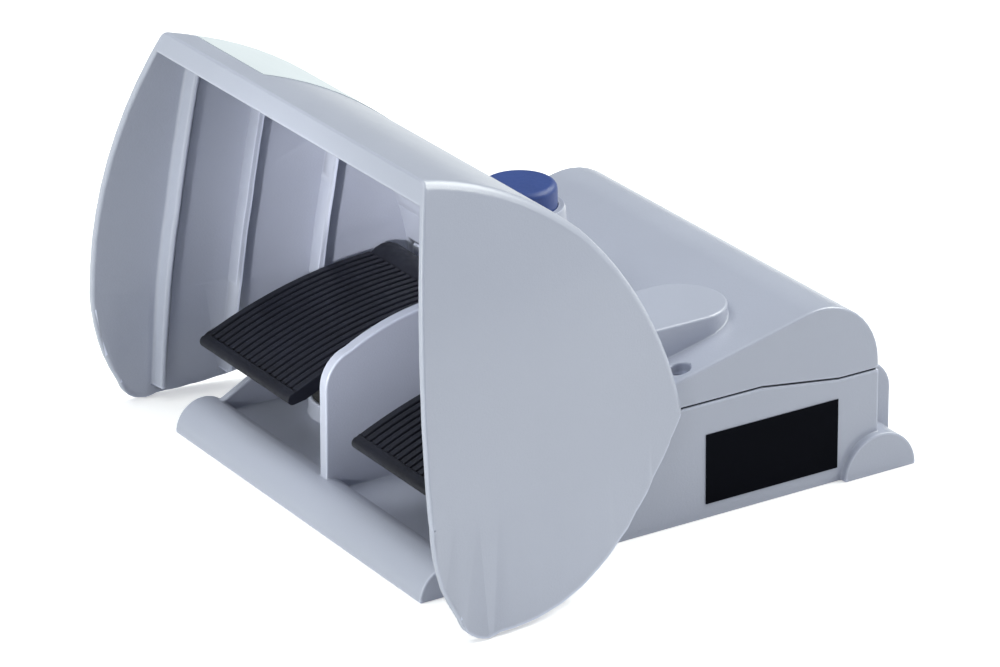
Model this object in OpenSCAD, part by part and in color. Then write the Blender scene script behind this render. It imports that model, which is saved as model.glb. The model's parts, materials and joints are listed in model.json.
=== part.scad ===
// Industrial foot switch: two hooded pedals with a release button between them.
// X runs to the right, Y to the rear and Z up. The origin is on the ground, at the middle of the footprint.
// Inside the modules Y is counted from the front edge of the base; in_frame() moves it to the origin.

/* [Base casting] */
// Length of the base, front roll to rear roll
base_len = 243.5; // [236:0.5:252]
// Width over the side walls
base_w = 192; // [186:1:198]
// Width over the two rolls
roll_w = 200; // [198:1:206]
// Radius of the half-round front roll
front_roll_r = 13.5; // [12:0.5:15]
// Radius of the half-round rear roll
rear_roll_r = 18; // [16:0.5:20]
// Wall of the castings
wall = 3.5; // [3:0.1:4]
// Floor of the tray and of the chamber
floor_t = 7.5; // [6:0.5:9]
// Height of the parting line at its front
part_z = 51.5; // [50:0.5:53]
// Drop of the parting line towards the rear
part_drop = 5.5; // [3:0.5:7]
// Thickness of the fin between the pedals
fin_t = 5.5; // [4:0.5:7]
// Top of the fin
fin_z = 79; // [74:1:84]

/* [Cover] */
// Slope of the cover's top, in degrees
cover_slope = 13; // [11:0.5:15]
// Height of the cover's top at its front edge
cover_front_z = 62.5; // [61:0.5:65]
// Radius of the rounded ridge at the rear
ridge_r = 30; // [27:1:32]
// Thickness of the seal in the parting line
gasket_t = 0.8; // [0.6:0.1:1.2]
// Width of the raised hump on the cover
hump_w = 40; // [34:1:44]
// Height of the hump's flat top
hump_z = 80; // [78:0.5:82]
// Distance from the centre plane to the hump
hump_x = 57.5; // [52:0.5:60]

/* [Hood] */
// Wall of the hood
hood_wall = 3.8; // [3:0.1:4.4]
// Height of the hood's front lip
hood_h = 180; // [176:1:188]
// Half width of the hood at the lip
hood_top_w = 104; // [102:0.5:107]
// Half width of the hood at its crease
hood_mid_w = 140.5; // [138:0.5:144]
// Half width of the hood at its rear corner
hood_rear_w = 105.4; // [104:0.2:107]
// Height of the crease in the side plates
crease_z = 53; // [50:1:56]
// How far the hood reaches ahead of the base
hood_reach = 18.2; // [16:0.2:20]
// Distance from the base's front to the hood's rear corner
hood_rear_y = 122.3; // [121:0.1:124]
// Depth of the front lip
lip_h = 9.5; // [8:0.5:12]
// Protrusion of the stiffening ribs
rib_h = 7.5; // [5:0.5:9]
// Thickness of the stiffening ribs
rib_t = 2.4; // [2:0.1:3]

/* [Pedals] */
// Width of a pedal
pedal_w = 75; // [70:1:76]
// Distance from the centre plane to a pedal
pedal_in = 25.6; // [25:0.2:28]
// Thickness of the pedal plate
pedal_t = 7; // [6:0.5:8]
// Number of grooves in the tread
grooves = 16; // [12:1:17]
// Depth of the grooves
groove_d = 1.2; // [0.8:0.1:1.6]
// Radius of the pedal shaft
shaft_r = 4; // [3.5:0.25:4.5]
// Distance from the base's front to the pedal shaft
pivot_y = 104; // [103:0.5:105]
// Height of the pedal shaft
pivot_z = 43; // [42:0.5:44]
// Full travel of a pedal, in degrees
pedal_travel = 7; // [5:0.5:7]
// Distance from the base's front to the middle of a boot
boot_y = 69; // [66:0.5:70]
// Radius of a boot at its foot
boot_r = 19.5; // [18:0.5:20]
// Top of a boot
boot_z = 49.5; // [49:0.25:50]

/* [Release button] */
// Radius of the button's cap
button_r = 16; // [14:0.5:17]
// Top of the button
button_z = 123; // [121:0.5:125]
// Stroke of the button
button_stroke = 4; // [3:0.5:5]
// Distance from the base's front to the button's axis
button_y = 111; // [110:0.5:112]
// Top of the collar round the button
collar_z = 113; // [111:0.5:115]

/* [Cable entries] */
// Bore radius of a cable entry, for an M20 x 1.5 thread
entry_r = 9.25; // [9:0.05:9.4]
// Distance between the two entries
entry_gap = 90; // [76:2:110]
// Height of the entries
entry_z = 26.5; // [26:0.5:28]
// How far the entry bosses stand behind the rear wall
entry_block_d = 14; // [11:0.5:16]

/* [Floor bolts] */
// Distance between the two front bolt holes
bolt_x = 92; // [86:2:96]
// Distance from the front bolt holes to the rear one
bolt_y = 190; // [186:1:191]
// Radius of a bolt hole
bolt_r = 3.3; // [2.7:0.1:3.5]

/* [Hidden] */
$fn = 64;

fit = 0.05;                     // running clearance on a radius
gap = 0.3;                      // clearance between pieces that move past each other
frame_y = (base_len - hood_reach) / 2;
body_x = base_w / 2;
roll_x = roll_w / 2;
rear_y = base_len - rear_roll_r + 0.5;      // outer face of the rear wall
chamber_y = 117;                            // outer face of the chamber's front wall
rear_roll_y = base_len - rear_roll_r;
slope = tan(cover_slope);
ridge_y = rear_y - ridge_r;
ridge_z = cover_front_z + (ridge_y - chamber_y) * slope - ridge_r / cos(cover_slope);
step_y0 = rear_y - 59;                      // the parting line starts to drop
step_y1 = rear_y - 20;                      // and is level again
part_low = part_z - part_drop;
block_x = 22;                               // half width of the block between the pedals
block_y = button_y - 21;                    // its front face
rear_bolt_y = base_len - 8;                 // rear floor bolt
front_bolt_y = rear_bolt_y - bolt_y;        // front pair of floor bolts
pedal_mid = pedal_in + pedal_w / 2;
plunger_x = pedal_mid;
plunger_z = pivot_z - 20;
plunger_r = 4;
cover_screw_y = [chamber_y + 14.5, rear_y - wall - 4.5];
cover_screw_x = body_x - 8;
block_half = 21;                            // half width of a contact block
block_mid = body_x - wall - 8.4 - block_half;       // its middle
block_front = chamber_y + 19;               // its front face
block_d = 48;
ledge_z = floor_t + 2.5;                    // ledges below the contact rail
rail_t = 1.5;
ledge_y = chamber_y + 33;
ledge_d = 24;
clip_x = body_x - wall - 1.25;              // inner face of a shaft clip, inside the side wall
clip_t = 0.9;
hub_in = [pedal_in + 4.4, pedal_in + 16.4]; // inner hub of a pedal
hub_out = [body_x - wall - 14.5, body_x - wall - 2.5];  // outer hub
wide = hood_mid_w + 20;                     // past every side face
entry_face = rear_y + entry_block_d - 3.4;  // spot face round a cable entry
flange_r = 12;                              // flange of the blanking plug
block_screw_y = [ledge_y + 5, ledge_y + 19];
earth_y = rear_y - 36;
seat_z = floor_t + 5;                       // where a boot and its spring stand
boot_cap = 2;                               // thickness of a boot's top
arm_face_y = pivot_y + 4;                   // rear face of the pedal's actuator arm
hub_r = 8;
bush_wall = 1.5;
tower_r = 20.5;
collar_base_z = 96;
cap_low = collar_base_z + 2.5 + button_stroke;      // lower rim of the button's cap
lever_y = button_y - 11;                    // axis of the latch lever
lever_z = 60;
pin_r = 2;
post_r = 4.5;                               // post inside a boot, with the stop buffer on it
post_z = 38;
buffer_z = boot_z - boot_cap - (pivot_y - boot_y) * sin(pedal_travel) - gap;    // the pedal comes to rest on it

lilac_grey = [0.62, 0.64, 0.69];
black = [0.07, 0.07, 0.08];
steel = [0.72, 0.73, 0.75];
blue = [0.08, 0.18, 0.55];

// ---- helpers ----

module in_frame() { translate([0, -frame_y, 0]) children(); }

// Points along a circular arc from a to b whose middle stands s off the chord, to the left of a-b
function chord_arc(a, b, s, n = 12) =
    let (d = b - a, c = norm(d), u = d / c, v = [-u[1], u[0]], r = (c * c / 4 + s * s) / (2 * abs(s)),
         half = asin(c / 2 / r), side = sign(s))
    [for (i = [0 : n]) let (t = -half + 2 * half * i / n)
        a + d / 2 + u * r * sin(t) + v * side * (r * cos(t) - r + abs(s))];

// A profile given as (y, z), extruded along X from x0 to x1
module along_x(x0, x1) {
    translate([x0, 0, 0]) rotate([90, 0, 90]) linear_extrude(x1 - x0) children();
}

module rod_x(r, x0, x1) { translate([x0, 0, 0]) rotate([0, 90, 0]) cylinder(r = r, h = x1 - x0); }
module rod_y(r, y0, y1) { translate([0, y0, 0]) rotate([-90, 0, 0]) cylinder(r = r, h = y1 - y0); }
module both_sides() { children(); mirror([1, 0, 0]) children(); }

// A coil spring standing along +Z: one swept polyhedron
module coil(r, wire, h, turns, sides = 6, steps = 16) {
    n = turns * steps;
    lift = h - 2 * wire;
    ring = [for (i = [0 : n]) let (a = 360 * i / steps, z = wire + lift * i / n)
        for (j = [0 : sides - 1]) let (b = 360 * j / sides)
            [(r + wire * cos(b)) * cos(a), (r + wire * cos(b)) * sin(a), z + wire * sin(b)]];
    walls = [for (i = [0 : n - 1]) for (j = [0 : sides - 1])
        let (k = (j + 1) % sides)
        [i * sides + j, i * sides + k, (i + 1) * sides + k, (i + 1) * sides + j]];
    ends = [[for (j = [0 : sides - 1]) sides - 1 - j], [for (j = [0 : sides - 1]) n * sides + j]];
    polyhedron(ring, concat([for (w = walls) [w[3], w[2], w[1], w[0]]], [for (e = ends) [for (k = [sides - 1 : -1 : 0]) e[k]]]));
}

// ---- the base casting ----

// Side view of the wall up to the parting line, lowered by d
function part_line(d = 0) = [
    [rear_y, part_low - d], [step_y1, part_low - d], [step_y0, part_z - d], [block_y + 3, part_z - d]
];

module side_wall_profile() {
    polygon(concat([[front_roll_r, 0], [rear_y, 0]], part_line(),
        [[front_roll_r + 7, 13], [front_roll_r, 11]]));
}

module half_roll(y, r, x) {
    intersection() {
        translate([0, y, 0]) rod_x(r, -x, x);
        translate([-x, 0, 0]) cube([2 * x, base_len + 1, r + 1]);
    }
}

// Outline of the fin between the pedals, from its front foot round its shoulder to the block
function fin_outline() = concat(
    [[block_y + 1, 3], [front_roll_r + 1, 3], [front_roll_r + 1.8, fin_z - 26]],
    chord_arc([front_roll_r + 1.8, fin_z - 26], [front_roll_r + 14, fin_z - 11], 3.2, 8),
    chord_arc([front_roll_r + 14, fin_z - 11], [front_roll_r + 49, fin_z], 1.6, 8),
    [[block_y - gap, fin_z], [block_y - gap, part_z - 2], [block_y + 1, part_z - 2]]
);

// Bosses of the cable entries: their top rear edge is rounded down to the entries' face
module entry_bosses() {
    y1 = rear_y + entry_block_d;
    both_sides() along_x(24, 85)
        polygon(concat([[rear_y - 1, 4], [y1, 4], [y1, part_low - 18]],
            chord_arc([y1, part_low - 18], [rear_y, part_low - 1], -5, 8), [[rear_y - 1, part_low - 1]]));
}

module base_walls() {
    inner = base_w - 2 * wall;
    difference() {
        union() {
            difference() {
                along_x(-body_x, body_x) side_wall_profile();
                // pedal tray, open at the top and behind the front roll
                translate([-inner / 2, 5, floor_t]) cube([inner, chamber_y - 5, 100]);
            }
            half_roll(front_roll_r, front_roll_r, roll_x);
            half_roll(rear_roll_y, rear_roll_r, roll_x - 0.7);
            entry_bosses();
        }
        // contact chamber, open at the top
        translate([-inner / 2, chamber_y + wall, floor_t]) cube([inner, rear_y - chamber_y - 2 * wall, 100]);
    }
}

// Block between the pedals that carries the shaft and the release mechanism
module centre_block() {
    difference() {
        translate([-block_x, block_y, 1]) cube([2 * block_x, chamber_y + 1 - block_y, part_z - 1]);
        translate([-block_x + wall, block_y + wall, floor_t])
            cube([2 * (block_x - wall), chamber_y - block_y - wall - 3, 100]);
    }
}

module screw_pillar_heights(y) { cylinder(r = 5.5, h = (y < step_y0 ? part_z : part_low) - 1); }

module base_housing() in_frame() color(lilac_grey) difference() {
    union() {
        base_walls();
        along_x(-fin_t / 2, fin_t / 2) polygon(fin_outline());
        centre_block();
        // round bosses under the pedals, with a rim round each boot and a post for the stop buffer
        both_sides() translate([pedal_mid, boot_y, 1]) {
            difference() {
                cylinder(r = boot_r + 2, h = seat_z + 2);
                translate([0, 0, seat_z - 1]) cylinder(r = boot_r + fit, h = 4);
            }
            cylinder(r = post_r, h = post_z - 1);
        }
        // pillars that take the cover screws
        both_sides() for (y = cover_screw_y) translate([cover_screw_x, y, 1]) screw_pillar_heights(y);
        // ledges that carry the contact rail
        both_sides() translate([block_mid - block_half - 7, ledge_y, 1])
            cube([2 * block_half + 14, ledge_d, ledge_z - 1]);
    }
    // shaft holes in the side walls and the block
    translate([0, pivot_y, pivot_z]) rod_x(shaft_r, -body_x - 1, body_x + 1);
    // cable entries
    for (s = [-1, 1]) translate([s * entry_gap / 2, 0, entry_z]) {
        rod_y(entry_r, rear_y - wall - 1, base_len + 20);
        rod_y(flange_r + 0.8, entry_face, base_len + 20);
    }
    // seats of the plunger seals
    both_sides() translate([plunger_x, 0, plunger_z]) rod_y(plunger_r + 3, chamber_y - 1, chamber_y + wall + 1);
    // floor bolt holes: two in the tray, and one through the rear roll with a flat seat
    for (s = [-1, 1]) translate([s * bolt_x / 2, front_bolt_y, -1]) cylinder(r = bolt_r, h = floor_t + 2);
    translate([0, rear_bolt_y, -1]) cylinder(r = bolt_r, h = rear_roll_r + 2);
    translate([0, rear_bolt_y, 9]) cylinder(r = 2 * bolt_r, h = rear_roll_r);
    // threads for the cover screws, and holes for the buffers
    both_sides() for (y = cover_screw_y) translate([cover_screw_x, y, part_low - 14]) cylinder(r = 2.1, h = 30);
    both_sides() translate([pedal_mid, boot_y, post_z - 8]) cylinder(r = 2, h = 20);
    // clearance holes for the hood screws
    both_sides() for (p = hood_screw_at) translate([0, p[0], p[1]]) rod_x(2.7, body_x - wall - 1, body_x + 1);
    // threads for the block screws and the earth screw
    both_sides() for (y = block_screw_y) translate([block_mid, y, 3]) cylinder(r = 1.65, h = 10);
    translate([0, earth_y, 1.5]) cylinder(r = 1.65, h = 10);
    roll_hollows();
}

// Hollows cast into the rolls from below, with webs between them
module roll_hollows() {
    for (i = [-2 : 2]) translate([i * 38 - 16.5, 0, -0.01]) {
        intersection() {
            translate([0, front_roll_r, 0]) rod_x(front_roll_r - wall, 0, 33);
            cube([33, 60, 20]);
        }
        // the rear roll stays solid round its bolt
        if (i != 0) intersection() {
            translate([0, rear_roll_y, 0]) rod_x(rear_roll_r - wall, 0, 33);
            translate([0, rear_y + 1.5, 0]) cube([33, 60, 20]);
        }
    }
}

// ---- cover ----

function cover_top(inset) =
    let (c = [ridge_y, ridge_z], r = ridge_r - inset)
    [for (i = [0 : 12]) let (a = i * (90 + cover_slope) / 12) [c[0] + r * cos(a), c[1] + r * sin(a)]];

module cover_profile() {
    polygon(concat([[chamber_y, part_z + gasket_t], [step_y0, part_z + gasket_t], [step_y1, part_low + gasket_t],
        [rear_y, part_low + gasket_t]], cover_top(0), [[chamber_y, cover_front_z]]));
}

module cover_hollow_profile() {
    polygon(concat([[chamber_y + wall, 0], [rear_y - wall, 0]], cover_top(wall),
        [[chamber_y + wall, cover_front_z - wall]]));
}

module hump(inset, top) {
    r = hump_w / 2 - inset;
    hull() {
        translate([0, 152, 0]) cylinder(r = r, h = top, $fn = 32);
        translate([-r, chamber_y + 8 + inset, 0]) cube([2 * r, 1, top]);
    }
}

module cover_screw_places() {
    both_sides() for (y = cover_screw_y) translate([cover_screw_x, y, 0]) children();
}

module top_cover() in_frame() color(lilac_grey) difference() {
    union() {
        difference() {
            union() {
                along_x(-body_x, body_x) cover_profile();
                intersection() {
                    translate([hump_x, 0, 0]) hump(0, hump_z);
                    translate([-body_x, chamber_y, part_z + 5]) cube([base_w, 90, 60]);
                }
            }
            along_x(-body_x + wall, body_x - wall) cover_hollow_profile();
            translate([hump_x, 0, 0]) hump(wall, hump_z - wall);
        }
        // roof of the block between the pedals, and the tower of the release button
        translate([-block_x, block_y, part_z + gasket_t]) cube([2 * block_x, chamber_y + 4 - block_y, 5]);
        translate([0, button_y, part_z + gasket_t]) cylinder(r = tower_r, h = collar_base_z - part_z - gasket_t);
        // pillars round the screws
        cover_screw_places() translate([0, 0, part_z + gasket_t]) cylinder(r = 5.5, h = 12);
    }
    // bore of the tower, and the cross hole for the latch lever's pin
    translate([0, button_y, part_z]) cylinder(r = tower_r - 5, h = 60);
    translate([0, lever_y, lever_z]) rod_x(pin_r, -tower_r, tower_r);
    // screw recesses, and clearance holes below them
    cover_screw_places() {
        translate([0, 0, part_z + gasket_t + 5]) cylinder(r = 4.6, h = 60);
        cylinder(r = 2.7, h = 70);
    }
}

module cover_gasket() in_frame() color(black) difference() {
    along_x(-body_x + 1, body_x - 1) polygon([
        [chamber_y + 0.8, part_z], [step_y0, part_z], [step_y1, part_low], [rear_y - 1, part_low],
        [rear_y - 1, part_low + gasket_t], [step_y1, part_low + gasket_t], [step_y0, part_z + gasket_t],
        [chamber_y + 0.8, part_z + gasket_t]]);
    translate([-body_x + wall, chamber_y + wall, 0]) cube([base_w - 2 * wall, rear_y - chamber_y - 2 * wall, 100]);
}

// ---- hood ----

hood_screw_at = [[72, 27], [92, 33]];       // (y, z) of the screws in each side
front_top = [3, hood_h];
front_mid = [-hood_reach, crease_z + 2];
front_low = [-6.5, 10.8];
foot = [11.5, 1.8];
rear_corner = [hood_rear_y, crease_z + 4];
shoulder = [79, hood_h - 39.2];

// Side view of the hood, grown by g at the roof and the back
function roof_arc(g) = [for (p = concat(
        chord_arc(rear_corner, shoulder, -7.4, 12), chord_arc(shoulder, front_top, -5.4, 10)))
    p - g * (p - [0, 40]) / norm(p - [0, 40])];

module hood_profile() {
    polygon(concat(chord_arc(front_top, front_mid, -6, 10), chord_arc(front_mid, front_low, -2.8, 6),
        chord_arc(front_low, foot, -4.5, 8), chord_arc(foot, rear_corner, -15.8, 12), roof_arc(0)));
}

module hood_inner_profile() {
    polygon(concat([[-40, hood_h - 4], [-40, -10], [hood_rear_y + 30, -10], [hood_rear_y + 30, crease_z]],
        roof_arc(hood_wall)));
}

// Half width of the hood's outside at (y, z), above the crease: it narrows to the rear, and leans in upwards
// with a slight bulge
hood_taper = (hood_mid_w - hood_rear_w) / (hood_rear_y + hood_reach);
hood_lean = hood_mid_w - hood_taper * (front_top[0] + hood_reach) - hood_top_w;
function upper_x(y, z) = let (t = max(0, (z - crease_z) / (hood_h - crease_z)))
    hood_mid_w - hood_taper * (y + hood_reach) - hood_lean * (0.42 * t + 0.58 * t * t);
// Half width at the foot, bowed in plan
function foot_x(y) = let (r = 175, y0 = 13, top = hood_mid_w + 2.9) top - r + sqrt(r * r - (y - y0) * (y - y0));

// The space between the side plates, drawn in by t: one section for each station along Y
module hood_space(t) {
    stations = [for (y = [-30 : 12 : 130]) y];
    // the levels pass through corners of the roof's arc
    arc = roof_arc(0);
    levels = concat([crease_z], [for (i = [3 : 3 : len(arc) - 1]) arc[i][1]], [hood_h + 12]);
    n = len(stations);
    m = 2 * (len(levels) + 1);
    // right side from the bottom up, then left side from the top down
    pts = [for (y = stations) let (half = concat([[foot_x(y) - t, -8]], [for (z = levels) [upper_x(y, z) - t, z]]))
        each concat([for (p = half) [p[0], y, p[1]]], [for (i = [len(half) - 1 : -1 : 0]) [-half[i][0], y, half[i][1]]])];
    skin = [for (i = [0 : n - 2]) for (j = [0 : m - 1]) let (k = (j + 1) % m) each
        [[i * m + j, (i + 1) * m + k, (i + 1) * m + j], [i * m + j, i * m + k, (i + 1) * m + k]]];
    polyhedron(pts, concat(skin, [[for (j = [m - 1 : -1 : 0]) j]], [[for (j = [0 : m - 1]) (n - 1) * m + j]]));
}

module hood_shell() {
    difference() {
        intersection() { hood_space(0); along_x(-wide, wide) hood_profile(); }
        intersection() { hood_space(hood_wall); along_x(-wide, wide) hood_inner_profile(); }
    }
}

module rib_profile(y) {
    h = hood_h - crease_z;
    front = [[0, -20], [0, crease_z + 2], [0.6, crease_z + 0.1 * h], [2.7, crease_z + 0.34 * h],
        [3.9, crease_z + 0.6 * h], [4.5, crease_z + 0.85 * h], [4.6, hood_h + 20]];
    translate([y, 0]) polygon(concat(front, [for (i = [len(front) - 1 : -1 : 0]) front[i] + [rib_t, 0]]));
}

module hood() in_frame() color(lilac_grey) difference() {
    union() {
        hood_shell();
        // front lip
        intersection() {
            hood_space(1);
            along_x(-wide, wide) hood_profile();
            along_x(-wide, wide) polygon([[-30, hood_h - lip_h], [2.5, hood_h - lip_h],
                [7.5, hood_h - 4], [7.5, hood_h + 9], [-30, hood_h + 9]]);
        }
        // stiffening ribs inside the side plates: they stop short of the lower edge and lean back above the crease
        for (y = [9.6, 39.9, 75.2]) intersection() {
            difference() { hood_space(1); hood_space(hood_wall + rib_h); }
            along_x(-wide, wide) intersection() {
                hood_profile();
                translate([0, 5]) hood_profile();
                rib_profile(y);
            }
        }
        // bosses that reach the base's side walls
        intersection() {
            hood_space(1);
            both_sides() for (p = hood_screw_at) translate([0, p[0], p[1]])
                rod_x(6, body_x, upper_x(p[0], p[1]));
        }
    }
    // threads of the bosses
    both_sides() for (p = hood_screw_at) translate([0, p[0], p[1]]) rod_x(2.1, body_x - 1, body_x + 11);
    // opening round the release button's tower
    translate([0, button_y, crease_z + 5]) cylinder(r = tower_r + 1, h = 120);
    // the back rests on the cover
    along_x(-body_x - 1, body_x + 1)
        polygon([[0, 0], [140, 0], [140, cover_front_z + 0.5 + 23 * slope], [chamber_y, cover_front_z + 0.5],
            [chamber_y - 14, cover_front_z + 0.5], [chamber_y - 14, 30], [0, 30]]);
}

module screw_x(head_r, head_h, r, l) {
    rod_x(r, 0, l);
    difference() {
        rod_x(head_r, -head_h, 0);
        rod_x(head_r * 0.45, -head_h - 1, -head_h * 0.4, $fn = 6);
    }
}

module screw_down(head_r, head_h, r, l) {
    translate([0, 0, -l]) cylinder(r = r, h = l);
    difference() {
        cylinder(r = head_r, h = head_h);
        translate([0, 0, head_h * 0.4]) cylinder(r = head_r * 0.45, h = head_h, $fn = 6);
    }
}

module hood_screws() in_frame() color(steel) both_sides() for (p = hood_screw_at)
    translate([body_x - wall, p[0], p[1]]) screw_x(4.2, 3, 2.1 - fit, 13);

module cover_screws() in_frame() color(steel) cover_screw_places()
    translate([0, 0, part_z + gasket_t + 5]) screw_down(4.2, 4, 2.1 - fit, 16);

// ---- pedals ----

tread_front = [15.5, 41];
tread_rear = [98, 61.2];

function tread_arc(drop) = [for (p = chord_arc(tread_front, tread_rear, 4.2, 12)) p - [0, drop]];

module pedal_plate_profile() {
    polygon(concat([tread_front, tread_front + [1.7, 0.95], tread_front + [2, 1.1 - groove_d]],
        [for (i = [1 : 12]) tread_arc(groove_d)[i]], [[101, 62.4], [104, 63.4], [108, 63.4], [112, 61.5], [114.5, 58]],
        [[114, 56], [104, 57]], [for (i = [12 : -1 : 1]) tread_arc(pedal_t * (1 - 0.024 * i))[i]],
        [for (i = [0 : 8]) let (a = 282 - i * 21.5) tread_front + [0.4 + 2.6 * cos(a), -2.4 + 2.6 * sin(a)]]));
}

module tread_rib_profile() {
    polygon(concat(tread_arc(0), [for (i = [12 : -1 : 0]) tread_arc(groove_d + 0.6)[i]]));
}

module pedal() {
    pitch = pedal_w / (grooves + 1);
    x1 = pedal_in + pedal_w;
    difference() {
        union() {
            along_x(pedal_in, x1) pedal_plate_profile();
            // ribs that stand between the grooves
            for (i = [0 : grooves]) {
                lead = i == 0 ? 0 : pitch * 0.18;
                tail = i == grooves ? 0 : pitch * 0.18;
                along_x(pedal_in + i * pitch + lead, pedal_in + (i + 1) * pitch - tail) tread_rib_profile();
            }
            // hubs on the shaft, with their webs
            for (x = [hub_in, hub_out]) {
                translate([0, pivot_y, pivot_z]) rod_x(hub_r, x[0], x[1]);
                along_x(x[0], x[1]) polygon([[pivot_y - hub_r, pivot_z], [pivot_y + hub_r, pivot_z],
                    [111, 57], [84, 55], [84, 50]]);
            }
            // pad on the boot
            translate([pedal_mid, boot_y, boot_z + gap]) cylinder(r = 8, h = 5);
            // actuator arm
            along_x(plunger_x - 5, plunger_x + 5) polygon([[pivot_y - 7, plunger_z - 6], [arm_face_y, plunger_z - 6],
                [arm_face_y, 57], [pivot_y - 12, 57]]);
        }
        translate([0, pivot_y, pivot_z]) {
            for (x = [hub_in, hub_out]) rod_x(shaft_r + bush_wall, x[0] - 1, x[1] + 1);
            rod_x(shaft_r + 0.6, hub_in[1], hub_out[0]);
        }
    }
}

module pedal_right() in_frame() color(black) pedal();
module pedal_left() in_frame() color(black) mirror([1, 0, 0]) pedal();

module pedal_shaft() in_frame() color(steel) difference() {
    translate([0, pivot_y, pivot_z]) rod_x(shaft_r, -body_x, body_x);
    // grooves for the retaining clips
    both_sides() translate([clip_x - fit, pivot_y, pivot_z]) difference() {
        rod_x(shaft_r + 1, 0, clip_t + 2 * fit);
        rod_x(shaft_r - 0.5, -1, 2);
    }
}

module shaft_clips() in_frame() color(steel) both_sides()
    translate([clip_x, pivot_y, pivot_z]) difference() {
        rod_x(shaft_r + 2, 0, clip_t);
        rod_x(shaft_r - 0.5 + fit, -1, 2);
        translate([-1, -0.9, -shaft_r - 3]) cube([3, 1.8, shaft_r + 1]);
    }

module bushes() {
    translate([0, pivot_y, pivot_z]) for (x = [hub_in, hub_out]) difference() {
        rod_x(shaft_r + bush_wall, x[0], x[1]);
        rod_x(shaft_r + fit, x[0] - 1, x[1] + 1);
    }
}

module pedal_bushes_right() in_frame() color("peru") bushes();
module pedal_bushes_left() in_frame() color("peru") mirror([1, 0, 0]) bushes();

// Round the post, from the base up to the boot's cap
module pedal_spring() {
    translate([pedal_mid, boot_y, seat_z]) coil(6.2, 0.5, boot_z - boot_cap - 0.1 - seat_z, 8);
}
module pedal_spring_right() in_frame() color(steel) pedal_spring();
module pedal_spring_left() in_frame() color(steel) mirror([1, 0, 0]) pedal_spring();

// Folds of a boot as (radius, height): a foot, four folds that narrow upwards, and a neck
function boot_folds() = let (h = boot_z - seat_z, low = boot_r, high = 9.8)
    concat([[low, 0], [low, h * 0.08]],
        [for (i = [0 : 8]) let (t = i / 8) [low + (high - low) * t + (i % 2 == 0 ? -1.3 : 1.1) * (1 - 0.3 * t) - 0.7 * t + 0.4,
            h * (0.14 + 0.68 * t)]],
        [[high, h * 0.9], [high, h]]);

module boot() {
    folds = boot_folds();
    skin = 1.5;
    translate([pedal_mid, boot_y, seat_z]) rotate_extrude() polygon(concat(folds, [[0, boot_z - seat_z]],
        [[0, boot_z - seat_z - boot_cap], [folds[12][0] - skin, boot_z - seat_z - boot_cap]],
        [for (i = [11 : -1 : 0]) [folds[i][0] - skin, folds[i][1]]]));
}
module boot_right() in_frame() color(black) boot();
module boot_left() in_frame() color(black) mirror([1, 0, 0]) boot();

module stop_buffers() in_frame() color(black) both_sides() translate([pedal_mid, boot_y, post_z]) {
    cylinder(r = post_r, h = buffer_z - post_z);
    translate([0, 0, -7]) cylinder(r = 2 - fit, h = 7);
}

// ---- contact blocks ----

block_top = 36;
terminal_x = [for (i = [0 : 3]) block_mid + (i - 1.5) * 11];
terminal_y = block_front + block_d - 7;
module contact_block() {
    low = ledge_z + rail_t;
    difference() {
        translate([block_mid - block_half, block_front, low]) cube([2 * block_half, block_d, block_top - low]);
        // plunger bore
        translate([plunger_x, 0, plunger_z]) rod_y(plunger_r + fit, block_front - 6, block_front + 20);
        // terminal slots, with a bore for each terminal's screw
        for (x = terminal_x) {
            translate([x - 3, terminal_y - 7, block_top - 7]) cube([6, 20, 10]);
            translate([x, terminal_y, block_top - 12]) cylinder(r = 1.2 + fit, h = 20);
        }
        for (y = block_screw_y) translate([block_mid, y, 0]) cylinder(r = 1.8, h = 60);
    }
}

module contact_block_right() in_frame() color("dimgray") contact_block();
module contact_block_left() in_frame() color("dimgray") mirror([1, 0, 0]) contact_block();

module plunger() {
    translate([plunger_x, 0, plunger_z]) {
        rod_y(plunger_r, arm_face_y + 2, block_front + 12);
        translate([0, arm_face_y + 2, 0]) intersection() {
            rod_y(plunger_r, -2 + gap, 0.01);
            translate([0, 4.5 - 2 + gap, 0]) sphere(r = 4.5);
        }
    }
}

module contact_plunger_right() in_frame() color(steel) plunger();
module contact_plunger_left() in_frame() color(steel) mirror([1, 0, 0]) plunger();

module plunger_seals() in_frame() color(black) both_sides() translate([plunger_x, 0, plunger_z]) difference() {
    union() {
        rod_y(plunger_r + 3, chamber_y, chamber_y + wall);
        rod_y(plunger_r + 5, chamber_y - 2, chamber_y);
    }
    rod_y(plunger_r + fit, chamber_y - 3, chamber_y + wall + 1);
}

module contact_rail() in_frame() color(steel) difference() {
    half = block_mid + block_half + 6;
    translate([-half, ledge_y + 1, ledge_z]) cube([2 * half, ledge_d - 2, rail_t]);
    both_sides() for (y = block_screw_y) translate([block_mid, y, 0]) cylinder(r = 1.8, h = 30);
}

module block_screws() in_frame() color(steel) both_sides() for (y = block_screw_y)
    translate([block_mid, y, block_top]) screw_down(3, 2.4, 1.65 - fit, block_top - 5);

module terminal_screws() in_frame() color("gold") both_sides() for (x = terminal_x)
    translate([x, terminal_y, block_top - 7]) screw_down(2.6, 2.4, 1.2, 4);

module earth_screw() in_frame() color("gold") translate([0, earth_y, floor_t]) screw_down(3.4, 3, 1.65 - fit, 3);

// ---- release button ----

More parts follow.
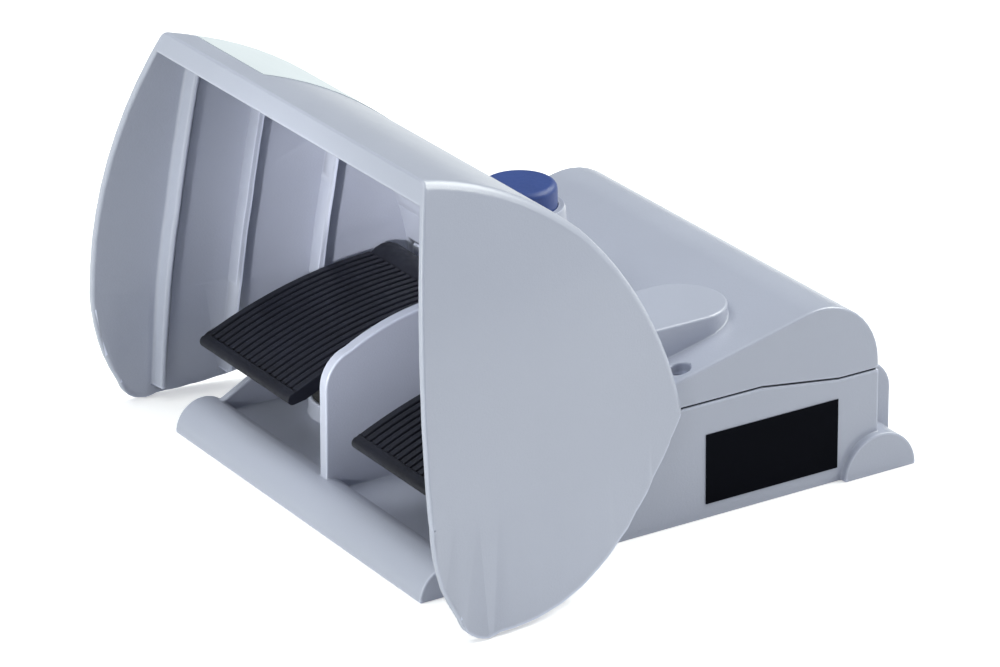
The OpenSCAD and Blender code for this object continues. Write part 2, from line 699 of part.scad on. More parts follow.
module release_button() in_frame() color(blue) translate([0, button_y, 0]) difference() {
    // cap with a rounded rim, hollow from below
    rotate_extrude() polygon(concat([[0, cap_low], [button_r, cap_low]],
        [for (i = [0 : 8]) let (a = i * 90 / 8) [button_r - 3 + 3 * cos(a), button_z - 3 + 3 * sin(a)]],
        [[0, button_z]]));
    translate([0, 0, cap_low - 1]) difference() {
        cylinder(r = button_r - 2.4, h = button_z - cap_low - 2);
        translate([0, 0, -1]) cylinder(r = 5, h = 40);
    }
    translate([0, 0, cap_low - 1]) cylinder(r = 3, h = button_z - cap_low - 7);
}

// Stem from the cap to the latch lever, with a blunt lower end
module button_stem() in_frame() color(steel) translate([0, button_y, lever_z + 5]) {
    cylinder(r1 = 1.2, r2 = 3, h = 2);
    translate([0, 0, 2]) cylinder(r = 3, h = button_z - 8 - lever_z - 7);
}

module button_collar() in_frame() color(lilac_grey) translate([0, button_y, 0]) difference() {
    union() {
        rotate_extrude() polygon([[0, collar_base_z], [tower_r + 0.3, collar_base_z], [tower_r - 1.2, collar_z - 1.5],
            [tower_r - 1.8, collar_z], [0, collar_z]]);
        translate([0, 0, collar_base_z - 12]) cylinder(r = tower_r - 5, h = 13);
    }
    translate([0, 0, collar_base_z + 2]) cylinder(r = button_r + gap, h = 40);
    translate([0, 0, collar_base_z - 20]) cylinder(r = 3 + fit, h = 40);
}

module button_spring() in_frame() color(steel) translate([0, button_y, collar_base_z + 2])
    coil(7.5, 0.45, button_z - 3 - collar_base_z - 2, 6);

// Lever under the stem: its hook hangs down into the block between the pedals
module latch_lever() in_frame() color(steel) translate([0, lever_y, lever_z]) difference() {
    along_x(-4, 4) union() {
        circle(r = pin_r + 1.4);
        polygon([[0, -2.5], [15, 1.5], [15, 4.5], [0, 3.4]]);
        polygon([[-1.5, -2], [0.3, -6.5], [1, -8.5], [-0.3, -9.3], [-0.3, -10.5], [4, -10.5], [4.5, -1.2]]);
    }
    rod_x(pin_r + fit, -10, 10);
}

module latch_pin() in_frame() color(steel) translate([0, lever_y, lever_z]) rod_x(pin_r, -16.5, 16.5);

// ---- plug, labels ----

module blanking_plug() in_frame() color(black) translate([-entry_gap / 2, entry_face, entry_z]) difference() {
    union() {
        rod_y(entry_r - fit, -9, 2);
        rod_y(flange_r, 1.6, 5);
    }
    rod_y(4.5, 1.5, 8, $fn = 6);
}

module plug_seal() in_frame() color("dimgray") translate([-entry_gap / 2, entry_face, entry_z]) difference() {
    rod_y(flange_r - 0.5, 0, 1.6);
    rod_y(entry_r, -1, 3);
}

module rating_label() in_frame() color(black) translate([body_x, rear_y - 86.7, 6.5]) cube([0.4, 66, 31]);

module hood_label() in_frame() color("white") difference() {
    intersection() {
        along_x(-97.5, -41.5) polygon([each roof_arc(-0.3), [0, 40]]);
        translate([-100, 15.5, 100]) cube([80, 62, 100]);
    }
    along_x(-100, 100) polygon([each roof_arc(0), [0, 40]]);
}

base_housing();
top_cover();
cover_gasket();
hood();
hood_screws();
cover_screws();
pedal_left();
pedal_right();
pedal_shaft();
shaft_clips();
pedal_bushes_left();
pedal_bushes_right();
pedal_spring_left();
pedal_spring_right();
boot_left();
boot_right();
stop_buffers();
contact_block_left();
contact_block_right();
contact_plunger_left();
contact_plunger_right();
plunger_seals();
contact_rail();
block_screws();
terminal_screws();
earth_screw();
release_button();
button_collar();
button_spring();
button_stem();
latch_lever();
latch_pin();
blanking_plug();
plug_seal();
rating_label();
hood_label();
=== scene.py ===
"""Industrial foot switch with two hooded pedals: finishes, rounded castings, studio and camera."""

import json
import math

import bmesh
import bpy
from mathutils import Matrix, Vector
from mathutils.bvhtree import BVHTree


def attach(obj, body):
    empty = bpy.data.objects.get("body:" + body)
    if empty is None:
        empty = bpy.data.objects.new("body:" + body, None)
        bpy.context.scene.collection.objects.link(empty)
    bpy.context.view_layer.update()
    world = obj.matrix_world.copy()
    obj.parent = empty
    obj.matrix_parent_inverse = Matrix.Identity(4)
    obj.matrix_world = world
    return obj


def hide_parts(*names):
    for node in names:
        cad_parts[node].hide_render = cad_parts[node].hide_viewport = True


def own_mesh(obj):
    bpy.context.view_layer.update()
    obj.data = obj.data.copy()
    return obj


bl_info = {
    "name": "Foot switch finisher",
    "version": (1, 0, 0),
    "blender": (4, 5, 0),
    "location": "3D View > Sidebar > Foot switch",
    "description": "Dresses a two-pedal foot switch: cast housings, ribbed pedals, button, plates and studio",
    "category": "Object",
}

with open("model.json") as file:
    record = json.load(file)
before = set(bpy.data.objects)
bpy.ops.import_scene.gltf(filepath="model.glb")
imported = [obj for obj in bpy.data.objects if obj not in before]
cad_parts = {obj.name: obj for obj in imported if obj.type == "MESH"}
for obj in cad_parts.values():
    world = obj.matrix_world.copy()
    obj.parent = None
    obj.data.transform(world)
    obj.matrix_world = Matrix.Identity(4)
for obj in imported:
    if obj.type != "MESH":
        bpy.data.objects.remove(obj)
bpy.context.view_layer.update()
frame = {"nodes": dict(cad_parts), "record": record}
NODES = frame["nodes"]
BODY_OF = {n: b for b, ns in frame["record"]["behaviour"]["bodies"].items() for n in ns}
MM = 0.001

# Angles in degrees between two faces
FLAT = 0.6           # less than this, and two faces are made one
SEAM_ANGLE = 25.0    # more than this, and an edge can take a wide radius
SOFT_ANGLE = 40.0    # less than this, and the shading runs on over an edge
CAD_ANGLE = 32.0     # the same for pieces that keep their CAD shape

# Distances in metres
WELD = 0.02 * MM         # points of a CAD mesh that are one point
HOOD_WELD = 0.3 * MM     # the same for the hood, whose curved faces leave short edges
SAME_POINT = 0.01 * MM   # points that a rounding leaves on top of each other
SNAP = 0.6 * MM          # how far a hood point may be laid back onto the CAD shape
RAY_START = 0.3          # outside of the hood on either side


# ---- sizes and colours a user would change ----


class FootSwitchFinish(bpy.types.PropertyGroup):
    """Colours of the foot switch"""

    paint: bpy.props.FloatVectorProperty(
        name="Paint", description="Satin paint on the castings", subtype="COLOR", size=3,
        default=(0.407, 0.431, 0.530), min=0.0, max=1.0)
    pedal: bpy.props.FloatVectorProperty(
        name="Pedals", description="Moulded pedals", subtype="COLOR", size=3,
        default=(0.0065, 0.0072, 0.0135), min=0.0, max=1.0)
    button: bpy.props.FloatVectorProperty(
        name="Button", description="Cap of the release button", subtype="COLOR", size=3,
        default=(0.030, 0.062, 0.235), min=0.0, max=1.0)
    plate: bpy.props.FloatVectorProperty(
        name="Rating plate", description="Blank dark plate on the right wall", subtype="COLOR", size=3,
        default=(0.0018, 0.0023, 0.005), min=0.0, max=1.0)
    texture_depth: bpy.props.FloatProperty(
        name="Paint texture", description="Depth of the paint's fine texture", subtype="DISTANCE",
        default=0.0001, min=0.0, max=0.001)


class FootSwitchSizes(bpy.types.PropertyGroup):
    """Edge radii of the foot switch"""

    cast_edge: bpy.props.FloatProperty(
        name="Casting edges", description="Radius along the edges of the base and cover", subtype="DISTANCE",
        default=0.0006, min=0.0, max=0.004)
    pedal_edge: bpy.props.FloatProperty(
        name="Pedal edges", description="Radius along the pedals' ribs and rims", subtype="DISTANCE",
        default=0.0003, min=0.0, max=0.001)
    cover_edge: bpy.props.FloatProperty(
        name="Cover's upper edges", description="Radius along the cover's top and its hump",
        subtype="DISTANCE",
        default=0.0011, min=0.0, max=0.006)
    seam_edge: bpy.props.FloatProperty(
        name="Hood's long edges", description="Radius where the roof meets the side plates",
        subtype="DISTANCE",
        default=0.0034, min=0.0, max=0.006)
    hood_edge: bpy.props.FloatProperty(
        name="Hood edges", description="Radius along the rims of the hood", subtype="DISTANCE",
        default=0.0013, min=0.0, max=0.004)


def finish():
    return bpy.context.scene.foot_switch_finish


def sizes():
    return bpy.context.scene.foot_switch_sizes


# ---- materials ----


class Shader:
    """A material's node tree, built a node at a time."""

    def __init__(self, name, color, roughness, metallic=0.0):
        self.material = bpy.data.materials.new(name)
        self.material.use_nodes = True
        self.tree = self.material.node_tree
        self.bsdf = self.tree.nodes["Principled BSDF"]
        self.bsdf.inputs["Base Color"].default_value = (*color, 1.0)
        self.bsdf.inputs["Roughness"].default_value = roughness
        self.bsdf.inputs["Metallic"].default_value = metallic
        self.coords = self.tree.nodes.new("ShaderNodeTexCoord")

    def link(self, a, b):
        self.tree.links.new(a, b)

    def noise(self, scale, detail=3.0, stretch=(1.0, 1.0, 1.0), roughness=0.5):
        mapping = self.tree.nodes.new("ShaderNodeMapping")
        mapping.inputs["Scale"].default_value = stretch
        noise = self.tree.nodes.new("ShaderNodeTexNoise")
        noise.inputs["Scale"].default_value = scale
        noise.inputs["Detail"].default_value = detail
        noise.inputs["Roughness"].default_value = roughness
        self.link(self.coords.outputs["Object"], mapping.inputs["Vector"])
        self.link(mapping.outputs["Vector"], noise.inputs["Vector"])
        return noise.outputs["Fac"]

    def ramp(self, fac, low, high):
        """Maps a noise of about 0.3 to 0.7 onto low to high."""
        node = self.tree.nodes.new("ShaderNodeMapRange")
        node.inputs["From Min"].default_value = 0.3
        node.inputs["From Max"].default_value = 0.7
        node.inputs["To Min"].default_value = low
        node.inputs["To Max"].default_value = high
        self.link(fac, node.inputs["Value"])
        return node.outputs["Result"]

    def vary_color(self, fac, dark, light):
        """The colour runs between two shades of itself."""
        base = self.bsdf.inputs["Base Color"].default_value[:3]
        node = self.tree.nodes.new("ShaderNodeValToRGB")
        node.color_ramp.elements[0].position = 0.3
        node.color_ramp.elements[1].position = 0.7
        node.color_ramp.elements[0].color = (*[c * dark for c in base], 1.0)
        node.color_ramp.elements[1].color = (*[min(c * light, 1.0) for c in base], 1.0)
        self.link(fac, node.inputs["Fac"])
        self.link(node.outputs["Color"], self.bsdf.inputs["Base Color"])
        return node

    def vary_roughness(self, fac, low, high):
        self.link(self.ramp(fac, low, high), self.bsdf.inputs["Roughness"])

    def soft_edges(self, radius):
        """Shades the edges that have no rounding of their own as if slightly worn."""
        node = self.tree.nodes.new("ShaderNodeBevel")
        node.samples = 6
        node.inputs["Radius"].default_value = radius
        self.link(node.outputs["Normal"], self.bsdf.inputs["Normal"])

    def paint_edge_highlights(self, reach, gain):
        """Paints the outer edges lighter: a painted highlight in the colour, standing in for the light that
        rounded edges catch.
        """
        base = self.bsdf.inputs["Base Color"]
        inner = self.tree.nodes.new("ShaderNodeAmbientOcclusion")
        inner.samples = 8
        inner.inside = True
        inner.only_local = True
        inner.inputs["Distance"].default_value = reach
        highlight_mask = self.tree.nodes.new("ShaderNodeMapRange")
        highlight_mask.inputs["From Min"].default_value = 0.82
        highlight_mask.inputs["From Max"].default_value = 0.45
        mix = self.tree.nodes.new("ShaderNodeMix")
        mix.data_type = "RGBA"
        color_inputs = [i for i in mix.inputs if i.type == "RGBA"]
        color_output = next(o for o in mix.outputs if o.type == "RGBA")
        color_inputs[1].default_value = (*[min(c * gain, 1.0) for c in base.default_value[:3]], 1.0)
        self.link(inner.outputs["AO"], highlight_mask.inputs["Value"])
        self.link(highlight_mask.outputs["Result"], mix.inputs["Factor"])
        self.link(base.links[0].from_socket, color_inputs[0])
        self.link(color_output, base)

    def bump(self, height, depth, strength=1.0):
        node = self.tree.nodes.new("ShaderNodeBump")
        node.inputs["Distance"].default_value = depth
        node.inputs["Strength"].default_value = strength
        self.link(height, node.inputs["Height"])
        if self.bsdf.inputs["Normal"].links:
            self.link(self.bsdf.inputs["Normal"].links[0].from_socket, node.inputs["Normal"])
        self.link(node.outputs["Normal"], self.bsdf.inputs["Normal"])


def casting_paint():
    """Satin paint over a cast surface: a slight orange peel, soft clouds of gloss and painted highlights
    along the outer edges.
    """
    s = Shader("Satin casting paint", finish().paint, 0.42)
    s.vary_color(s.noise(9.0, 4.0), 0.975, 1.02)
    # painted highlight: the outer edges are painted lighter in the base colour, in place of the light they
    # catch
    s.paint_edge_highlights(0.0018, 1.6)
    s.vary_roughness(s.noise(55.0, 4.0), 0.38, 0.48)
    s.bsdf.inputs["Coat Weight"].default_value = 0.5
    s.bsdf.inputs["Coat Roughness"].default_value = 0.22
    s.soft_edges(0.00035)
    s.bump(s.noise(1100.0, 4.0, roughness=0.7), finish().texture_depth)
    s.bump(s.noise(160.0, 2.0), 0.00006, 0.35)
    return s.material


def pedal_plastic():
    s = Shader("Pedal plastic", finish().pedal, 0.5)
    s.bsdf.inputs["Specular IOR Level"].default_value = 0.3
    s.vary_color(s.noise(40.0, 4.0), 0.85, 1.25)
    s.vary_roughness(s.noise(300.0, 3.0), 0.42, 0.58)
    s.bump(s.noise(2600.0, 2.0), 0.00004)
    return s.material


def button_plastic():
    s = Shader("Button plastic", finish().button, 0.45)
    s.vary_color(s.noise(60.0, 3.0), 0.93, 1.06)
    s.vary_roughness(s.noise(400.0, 3.0), 0.4, 0.52)
    s.bump(s.noise(2200.0, 2.0), 0.00003)
    return s.material


def plate_enamel():
    s = Shader("Plate enamel", finish().plate, 0.45)
    s.bsdf.inputs["Specular IOR Level"].default_value = 0.03
    s.vary_color(s.noise(25.0, 3.0), 0.9, 1.15)
    s.vary_roughness(s.noise(500.0, 2.0), 0.4, 0.5)
    return s.material


def label_film():
    s = Shader("White label film", (0.60, 0.645, 0.69), 0.6)
    s.bsdf.inputs["Specular IOR Level"].default_value = 0.2
    s.vary_color(s.noise(30.0, 3.0), 0.985, 1.01)
    s.vary_roughness(s.noise(30.0, 2.0), 0.56, 0.64)
    return s.material


def turned_steel():
    s = Shader("Turned steel", (0.56, 0.57, 0.59), 0.3, 1.0)
    s.vary_color(s.noise(200.0, 3.0, (1.0, 8.0, 8.0)), 0.9, 1.05)
    s.vary_roughness(s.noise(420.0, 3.0, (1.0, 6.0, 6.0)), 0.24, 0.38)
    return s.material


def zinc_screws():
    s = Shader("Zinc plated steel", (0.60, 0.61, 0.62), 0.32, 1.0)
    s.vary_color(s.noise(600.0, 3.0), 0.85, 1.05)
    s.vary_roughness(s.noise(900.0, 3.0), 0.26, 0.42)
    return s.material


def spring_wire():
    s = Shader("Spring wire", (0.42, 0.43, 0.45), 0.35, 1.0)
    s.vary_color(s.noise(500.0, 3.0), 0.85, 1.1)
    s.vary_roughness(s.noise(700.0, 3.0), 0.28, 0.45)
    return s.material


def seal_rubber():
    s = Shader("Seal rubber", (0.016, 0.016, 0.018), 0.75)
    s.vary_color(s.noise(80.0, 4.0), 0.8, 1.3)
    s.vary_roughness(s.noise(350.0, 3.0), 0.68, 0.85)
    s.bump(s.noise(1500.0, 3.0), 0.00005)
    return s.material


def block_plastic():
    s = Shader("Contact block plastic", (0.035, 0.036, 0.038), 0.55)
    s.vary_color(s.noise(70.0, 3.0), 0.85, 1.2)
    s.vary_roughness(s.noise(400.0, 3.0), 0.48, 0.62)
    s.bump(s.noise(1700.0, 2.0), 0.00004)
    return s.material


def rolled_sheet():
    s = Shader("Rolled steel sheet", (0.52, 0.53, 0.54), 0.36, 1.0)
    s.vary_color(s.noise(150.0, 3.0, (1.0, 12.0, 12.0)), 0.88, 1.05)
    s.vary_roughness(s.noise(260.0, 3.0, (1.0, 12.0, 12.0)), 0.28, 0.44)
    return s.material


def brass_metal():
    s = Shader("Brass", (0.62, 0.45, 0.18), 0.3, 1.0)
    s.vary_color(s.noise(220.0, 3.0), 0.86, 1.08)
    s.vary_roughness(s.noise(520.0, 3.0), 0.24, 0.4)
    return s.material


def sintered_bronze():
    s = Shader("Sintered bronze", (0.42, 0.26, 0.12), 0.48, 1.0)
    s.vary_color(s.noise(900.0, 4.0), 0.75, 1.15)
    s.vary_roughness(s.noise(1100.0, 3.0), 0.4, 0.58)
    s.bump(s.noise(2600.0, 3.0), 0.00004)
    return s.material


FINISHES = {
    "castings": casting_paint, "pedals": pedal_plastic, "button": button_plastic, "dark_plate": plate_enamel,
    "white_label": label_film, "shafts": turned_steel, "screws": zinc_screws, "springs": spring_wire,
    "seals": seal_rubber, "blocks": block_plastic, "rail": rolled_sheet, "brass": brass_metal,
    "bushes": sintered_bronze,
}
SLOT_OF = {p["node"]: p["material_slot"] for p in frame["record"]["subparts"]}
_made = {}


def material_for(slot):
    if slot not in _made:
        _made[slot] = FINISHES[slot]()
    return _made[slot]


def dress(obj, slot):
    obj.data.materials.clear()
    obj.data.materials.append(material_for(slot))


# ---- pieces ----


def smooth_by_angle(obj, degrees=CAD_ANGLE):
    obj.data.shade_smooth()
    obj.data.set_sharp_from_angle(angle=math.radians(degrees))


def even_shading(obj):
    """Large faces decide the shading at their borders, so flat faces stay flat beside a rounded edge."""
    weighted = obj.modifiers.new("Even shading", "WEIGHTED_NORMAL")
    weighted.mode = "FACE_AREA"
    weighted.keep_sharp = True


def merged_copy(node, weld=WELD):
    """A bmesh of a CAD node with its triangles joined and its flat faces made whole again."""
    bm = bmesh.new()
    bm.from_mesh(NODES[node].data)
    bmesh.ops.remove_doubles(bm, verts=bm.verts, dist=weld)
    bmesh.ops.dissolve_limit(bm, angle_limit=math.radians(FLAT), use_dissolve_boundaries=False,
                             verts=bm.verts, edges=bm.edges, delimit=set())
    return bm


def piece_from(bm, name, node):
    mesh = bpy.data.meshes.new(name)
    bm.to_mesh(mesh)
    bm.free()
    obj = bpy.data.objects.new(name, mesh)
    bpy.context.scene.collection.objects.link(obj)
    dress(obj, SLOT_OF[node])
    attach(obj, BODY_OF[node])
    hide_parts(node)
    return obj


def sharp_edges(bm, degrees, wanted=None):
    """Edges between two faces that meet at more than an angle, and that pass a test of the edge."""
    limit = math.radians(degrees)
    return [e for e in bm.edges if len(e.link_faces) == 2 and e.calc_face_angle(0.0) > limit
            and (wanted is None or wanted(e))]


def round_edges(bm, edges, radius, segments):
    bmesh.ops.bevel(bm, geom=edges, offset=radius, offset_type="OFFSET", affect="EDGES", segments=segments,
                    profile=0.5, material=-1, loop_slide=True, clamp_overlap=False)
    bmesh.ops.remove_doubles(bm, verts=bm.verts, dist=SAME_POINT)


def trim_edges(obj, radius, degrees=34.0, segments=2):
    """A small radius on every edge that is still sharp."""
    bevel = obj.modifiers.new("Rounded edges", "BEVEL")
    bevel.width = radius
    bevel.segments = segments
    bevel.limit_method = "ANGLE"
    bevel.angle_limit = math.radians(degrees)
    bevel.use_clamp_overlap = False
    bevel.harden_normals = False
    bevel.miter_outer = "MITER_ARC"


def rounded_casting(name, node, radius, soft=(), angle=34.0, segments=3):
    """A CAD node with wide radii on its soft edges, given as (test, radius), and a small one on the rest."""
    bm = merged_copy(node)
    for wanted, wide in soft:
        edges = sharp_edges(bm, SEAM_ANGLE, wanted)
        if not edges:
            raise RuntimeError("no soft edges were found on " + node)
        round_edges(bm, edges, wide, 5)
    obj = piece_from(bm, name, node)
    trim_edges(obj, radius, angle, segments)
    smooth_by_angle(obj, SOFT_ANGLE)
    even_shading(obj)
    return obj


def facing(edge, test_a, test_b):
    """True if one face beside the edge passes the first test and the other one the second."""
    n, m = (f.normal for f in edge.link_faces)
    return (test_a(n) and test_b(m)) or (test_a(m) and test_b(n))


def middle(edge):
    return (edge.verts[0].co + edge.verts[1].co) * 0.5


def hood_seam(edge):
    """The roof's long edges, where it meets the side plates on the outside."""
    side = 1.0 if middle(edge).x > 0.0 else -1.0
    return facing(edge, lambda n: n.x * side > 0.7, lambda n: abs(n.x) < 0.15 and (n.z > 0.5 or n.y > 0.5)) \
        and middle(edge).z > 0.056


def front_rim(edge):
    """The outline of the hood's mouth, outside and inside."""
    return facing(edge, lambda n: n.y < -0.8 and abs(n.x) < 0.3, lambda n: n.y > -0.6) \
        and middle(edge).y < -0.09


def plate_level(edge):
    """A horizontal fold across a side plate."""
    side = 1.0 if middle(edge).x > 0.0 else -1.0
    a, b = (v.co for v in edge.verts)
    return all(f.normal.x * side > 0.9 for f in edge.link_faces) and abs(a.z - b.z) < 0.0002 \
        and middle(edge).z > 0.06 and abs(a.y - b.y) > 0.01


def side_plate(face):
    side = 1.0 if face.calc_center_median().x > 0.0 else -1.0
    return face.normal.x * side > 0.9 and face.calc_area() > 0.0002 and max(v.co.z for v in face.verts) > 0.06


def cover_rim(edge):
    """The cover's upper edges at its side faces, and its ridge."""
    side = 1.0 if middle(edge).x > 0.0 else -1.0
    return facing(edge, lambda n: n.x * side > 0.95, lambda n: abs(n.x) < 0.1 and (n.z > 0.1 or n.y > 0.1)) \
        and abs(middle(edge).x) > 0.09


def hump_rim(edge):
    """The top edge of the cover's hump."""
    return facing(edge, lambda n: n.z > 0.97, lambda n: abs(n.z) < 0.2) and middle(edge).z > 0.078 \
        and middle(edge).x > 0.03


class FOOTSWITCH_OT_finish_nodes(bpy.types.Operator):
    """Gives every carried-over piece its finish"""

    bl_idname = "foot_switch.finish_nodes"
    bl_label = "Finish inner pieces"

    def execute(self, context):
        for name, obj in NODES.items():
            dress(obj, SLOT_OF[name])
            smooth_by_angle(obj)
        return {"FINISHED"}


class FOOTSWITCH_OT_castings(bpy.types.Operator):
    """Makes the base and the cover with rounded edges"""

    bl_idname = "foot_switch.castings"
    bl_label = "Round the castings"

    def execute(self, context):
        rounded_casting("base_casting", "base_housing", sizes().cast_edge)
        rounded_casting("cover_casting", "top_cover", sizes().cast_edge,
                        ((cover_rim, sizes().cover_edge), (hump_rim, sizes().cover_edge)))
        return {"FINISHED"}


class FOOTSWITCH_OT_pedals(bpy.types.Operator):
    """Makes the pedals with rounded tread ribs"""

    bl_idname = "foot_switch.pedals"
    bl_label = "Round the pedals"

    def execute(self, context):
        for side in ("left", "right"):
            rounded_casting("ribbed_pedal_" + side, "pedal_" + side, sizes().pedal_edge,
                            angle=38.0, segments=2)
        return {"FINISHED"}


def soft_copy(name, node):
    """A piece with a CAD node's own shape."""
    bm = bmesh.new()
    bm.from_mesh(NODES[node].data)
    bmesh.ops.remove_doubles(bm, verts=bm.verts, dist=SAME_POINT)
    obj = piece_from(bm, name, node)
    smooth_by_angle(obj)
    return obj


def press_together(joint_name, outer, *inner):
    """Gives the outer piece and the inner ones meshes of their own.
    """
    for obj in (outer, *inner):
        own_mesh(obj)


class FOOTSWITCH_OT_springs(bpy.types.Operator):
    """Makes the boots and springs that the pedals and the button press together"""

    bl_idname = "foot_switch.springs"
    bl_label = "Springs and boots"

    def execute(self, context):
        for side in ("left", "right"):
            press_together("pedal_" + side + "_hinge", soft_copy("folding_boot_" + side, "boot_" + side),
                           soft_copy("pedal_coil_" + side, "pedal_spring_" + side))
        press_together("button_slide", soft_copy("button_coil", "button_spring"))
        return {"FINISHED"}


class FOOTSWITCH_OT_hood(bpy.types.Operator):
    """Makes the hood with rounded rims"""

    bl_idname = "foot_switch.hood"
    bl_label = "Round the hood"

    def execute(self, context):
        bm = merged_copy("hood", HOOD_WELD)
        shape = BVHTree.FromBMesh(bm)
        folds = [e for e in bm.edges if len(e.link_faces) == 2 and plate_level(e)]
        levels = sorted({round(middle(e).z, 4) for e in folds})
        # the folds would break the rounding of the long edges, so they're taken out and cut in again after it
        bmesh.ops.dissolve_edges(bm, edges=folds, use_verts=True)
        round_edges(bm, sharp_edges(bm, SEAM_ANGLE, hood_seam), sizes().seam_edge, 6)
        round_edges(bm, sharp_edges(bm, SEAM_ANGLE, front_rim), sizes().hood_edge, 3)
        for vert in {v for f in bm.faces if side_plate(f) for v in f.verts}:
            side = 1.0 if vert.co.x > 0.0 else -1.0
            outside = Vector((side * RAY_START, vert.co.y, vert.co.z))
            hit = shape.ray_cast(outside, Vector((-side, 0.0, 0.0)))[0]
            if hit is not None and abs(hit.x - vert.co.x) < SNAP:
                vert.co.x = hit.x
        for level in levels:
            faces = [f for f in bm.faces if side_plate(f)]
            geom = set(faces) | {e for f in faces for e in f.edges} | {v for f in faces for v in f.verts}
            bmesh.ops.bisect_plane(bm, geom=list(geom), dist=WELD, plane_co=(0.0, 0.0, level),
                                   plane_no=(0.0, 0.0, 1.0))
        obj = piece_from(bm, "hood_shell", "hood")
        smooth_by_angle(obj, SOFT_ANGLE)
        even_shading(obj)
        return {"FINISHED"}


# ---- studio ----


def aim(lamp, location, target):
    """Puts a lamp in its place and turns it towards a point."""
    lamp.location = location
    lamp.rotation_euler = (Vector(target) - Vector(location)).to_track_quat("-Z", "Y").to_euler()


def area_lamp(name, location, target, size, power, color=(1.0, 1.0, 1.0)):
    data = bpy.data.lights.new(name, "AREA")
    data.shape = "RECTANGLE"
    data.size, data.size_y = size
    data.energy = power
    data.color = color
    lamp = bpy.data.objects.new(name, data)
    bpy.context.scene.collection.objects.link(lamp)
    aim(lamp, location, target)


def mouth_lamp(location, target, power):
    """A soft beam through the hood's mouth onto its far side."""
    data = bpy.data.lights.new("Mouth", "SPOT")
    data.energy = power
    data.spot_size = math.radians(13.0)
    data.spot_blend = 1.0
    data.shadow_soft_size = 0.03
    lamp = bpy.data.objects.new("Mouth", data)
    bpy.context.scene.collection.objects.link(lamp)
    aim(lamp, location, target)


def pale_floor_material():
    """A white floor that shows as plain white to the camera and still takes a soft shadow."""
    material = bpy.data.materials.new("Studio floor")
    material.use_nodes = True
    tree = material.node_tree
    out = tree.nodes["Material Output"]
    bsdf = tree.nodes["Principled BSDF"]
    bsdf.inputs["Base Color"].default_value = (0.86, 0.86, 0.87, 1.0)
    bsdf.inputs["Roughness"].default_value = 0.9
    glow = tree.nodes.new("ShaderNodeEmission")
    glow.inputs["Strength"].default_value = 0.42
    path = tree.nodes.new("ShaderNodeLightPath")
    add = tree.nodes.new("ShaderNodeAddShader")
    mix = tree.nodes.new("ShaderNodeMixShader")
    tree.links.new(bsdf.outputs["BSDF"], add.inputs[0])
    tree.links.new(glow.outputs["Emission"], add.inputs[1])
    tree.links.new(path.outputs["Is Camera Ray"], mix.inputs["Fac"])
    tree.links.new(bsdf.outputs["BSDF"], mix.inputs[1])
    tree.links.new(add.outputs["Shader"], mix.inputs[2])
    tree.links.new(mix.outputs["Shader"], out.inputs["Surface"])
    return material


def studio_world():
    """Even pale light all round, and plain white where it is seen directly."""
    world = bpy.data.worlds.new("Studio")
    bpy.context.scene.world = world
    world.use_nodes = True
    tree = world.node_tree
    light = tree.nodes["Background"]
    light.inputs["Color"].default_value = (0.8, 0.88, 1.0, 1.0)
    light.inputs["Strength"].default_value = 0.21
    seen = tree.nodes.new("ShaderNodeBackground")
    seen.inputs["Color"].default_value = (1.0, 1.0, 1.0, 1.0)
    seen.inputs["Strength"].default_value = 1.0
    path = tree.nodes.new("ShaderNodeLightPath")
    mix = tree.nodes.new("ShaderNodeMixShader")
    tree.links.new(path.outputs["Is Camera Ray"], mix.inputs["Fac"])
    tree.links.new(light.outputs["Background"], mix.inputs[1])
    tree.links.new(seen.outputs["Background"], mix.inputs[2])
    tree.links.new(mix.outputs["Shader"], tree.nodes["World Output"].inputs["Surface"])


def place_camera():
    azimuth, elevation, roll = (math.radians(a) for a in (58.0, 23.0, -0.61))
    back = Vector((math.sin(azimuth) * math.cos(elevation), -math.cos(azimuth) * math.cos(elevation),
                   math.sin(elevation)))
    right = Vector((math.cos(azimuth), math.sin(azimuth), 0.0))
    up = back.cross(right)
    turned_right = math.cos(roll) * right + math.sin(roll) * up
    turned_up = math.cos(roll) * up - math.sin(roll) * right
    data = bpy.data.cameras.new("Camera")
    data.sensor_width = 36.0
    data.lens = 184.23
    data.clip_start = 0.05
    camera = bpy.data.objects.new("Camera", data)
    bpy.context.scene.collection.objects.link(camera)
    turn = Matrix((turned_right, turned_up, back)).transposed()
    camera.matrix_world = Matrix.Translation((1.66295, -1.05076, 0.88973)) @ turn.to_4x4()
    bpy.context.scene.camera = camera


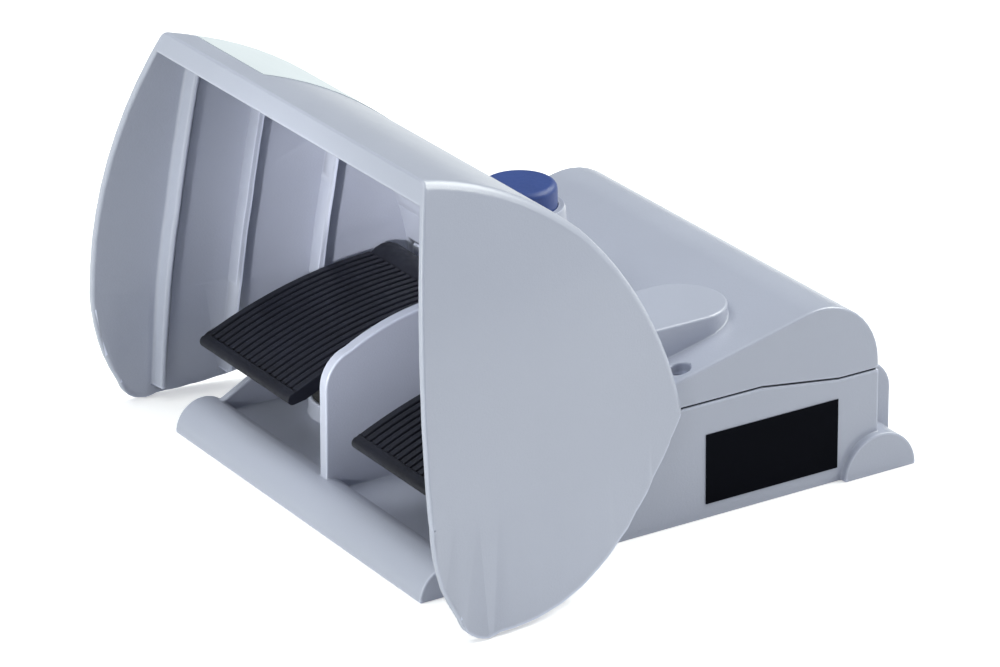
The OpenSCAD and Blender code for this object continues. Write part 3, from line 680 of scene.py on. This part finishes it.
class FOOTSWITCH_OT_stage(bpy.types.Operator):
    """Makes the studio: floor, lamps, world and camera"""

    bl_idname = "foot_switch.stage"
    bl_label = "Set the stage"

    def execute(self, context):
        floor = bpy.data.meshes.new("studio_floor")
        bm = bmesh.new()
        bmesh.ops.create_grid(bm, x_segments=1, y_segments=1, size=6.0)
        bm.to_mesh(floor)
        bm.free()
        floor.materials.append(pale_floor_material())
        obj = bpy.data.objects.new("studio_floor", floor)
        context.scene.collection.objects.link(obj)
        studio_world()
        area_lamp("Top", (-0.3, -1.2, 2.4), (0.0, 0.0, 0.08), (1.6, 1.6), 32.0, (0.98, 1.0, 0.95))
        area_lamp("Front", (-0.2, -2.4, 0.8), (0.0, 0.0, 0.08), (1.0, 0.8), 29.0, (0.97, 1.0, 0.9))
        area_lamp("Front right", (1.35, -1.85, 0.4), (0.0, 0.0, 0.08), (0.6, 0.6), 5.0, (0.97, 1.0, 0.97))
        area_lamp("Rear", (0.1, 2.0, 1.7), (0.0, 0.0, 0.08), (2.2, 1.2), 66.0, (0.97, 1.0, 0.92))
        area_lamp("High right", (1.0, 1.25, 2.0), (0.0, 0.0, 0.08), (0.6, 0.6), 12.0, (1.0, 1.0, 0.95))
        mouth_lamp((0.44, -0.76, 0.21), (-0.1, 0.03, 0.075), 25.0)
        context.scene.view_settings.view_transform = "Standard"
        place_camera()
        return {"FINISHED"}


class FOOTSWITCH_PT_panel(bpy.types.Panel):
    """Shows the foot switch's colours, sizes and steps"""

    bl_idname = "FOOTSWITCH_PT_panel"
    bl_label = "Foot switch"
    bl_space_type = "VIEW_3D"
    bl_region_type = "UI"
    bl_category = "Foot switch"

    def draw(self, context):
        column = self.layout.column()
        for group in (context.scene.foot_switch_finish, context.scene.foot_switch_sizes):
            for key in group.bl_rna.properties.keys():
                if key not in {"rna_type", "name"}:
                    column.prop(group, key)
        for operator in OPERATORS:
            column.operator(operator.bl_idname)


OPERATORS = (
    FOOTSWITCH_OT_finish_nodes,
    FOOTSWITCH_OT_castings,
    FOOTSWITCH_OT_pedals,
    FOOTSWITCH_OT_springs,
    FOOTSWITCH_OT_hood,
    FOOTSWITCH_OT_stage,
)
CLASSES = (FootSwitchFinish, FootSwitchSizes, *OPERATORS, FOOTSWITCH_PT_panel)


def register():
    for cls in CLASSES:
        bpy.utils.register_class(cls)
    bpy.types.Scene.foot_switch_finish = bpy.props.PointerProperty(type=FootSwitchFinish)
    bpy.types.Scene.foot_switch_sizes = bpy.props.PointerProperty(type=FootSwitchSizes)


def unregister():
    del bpy.types.Scene.foot_switch_sizes
    del bpy.types.Scene.foot_switch_finish
    for cls in reversed(CLASSES):
        bpy.utils.unregister_class(cls)


def main():
    register()
    for operator in OPERATORS:
        group, name = operator.bl_idname.split(".")
        getattr(getattr(bpy.ops, group), name)()


if __name__ == "__main__":
    main()
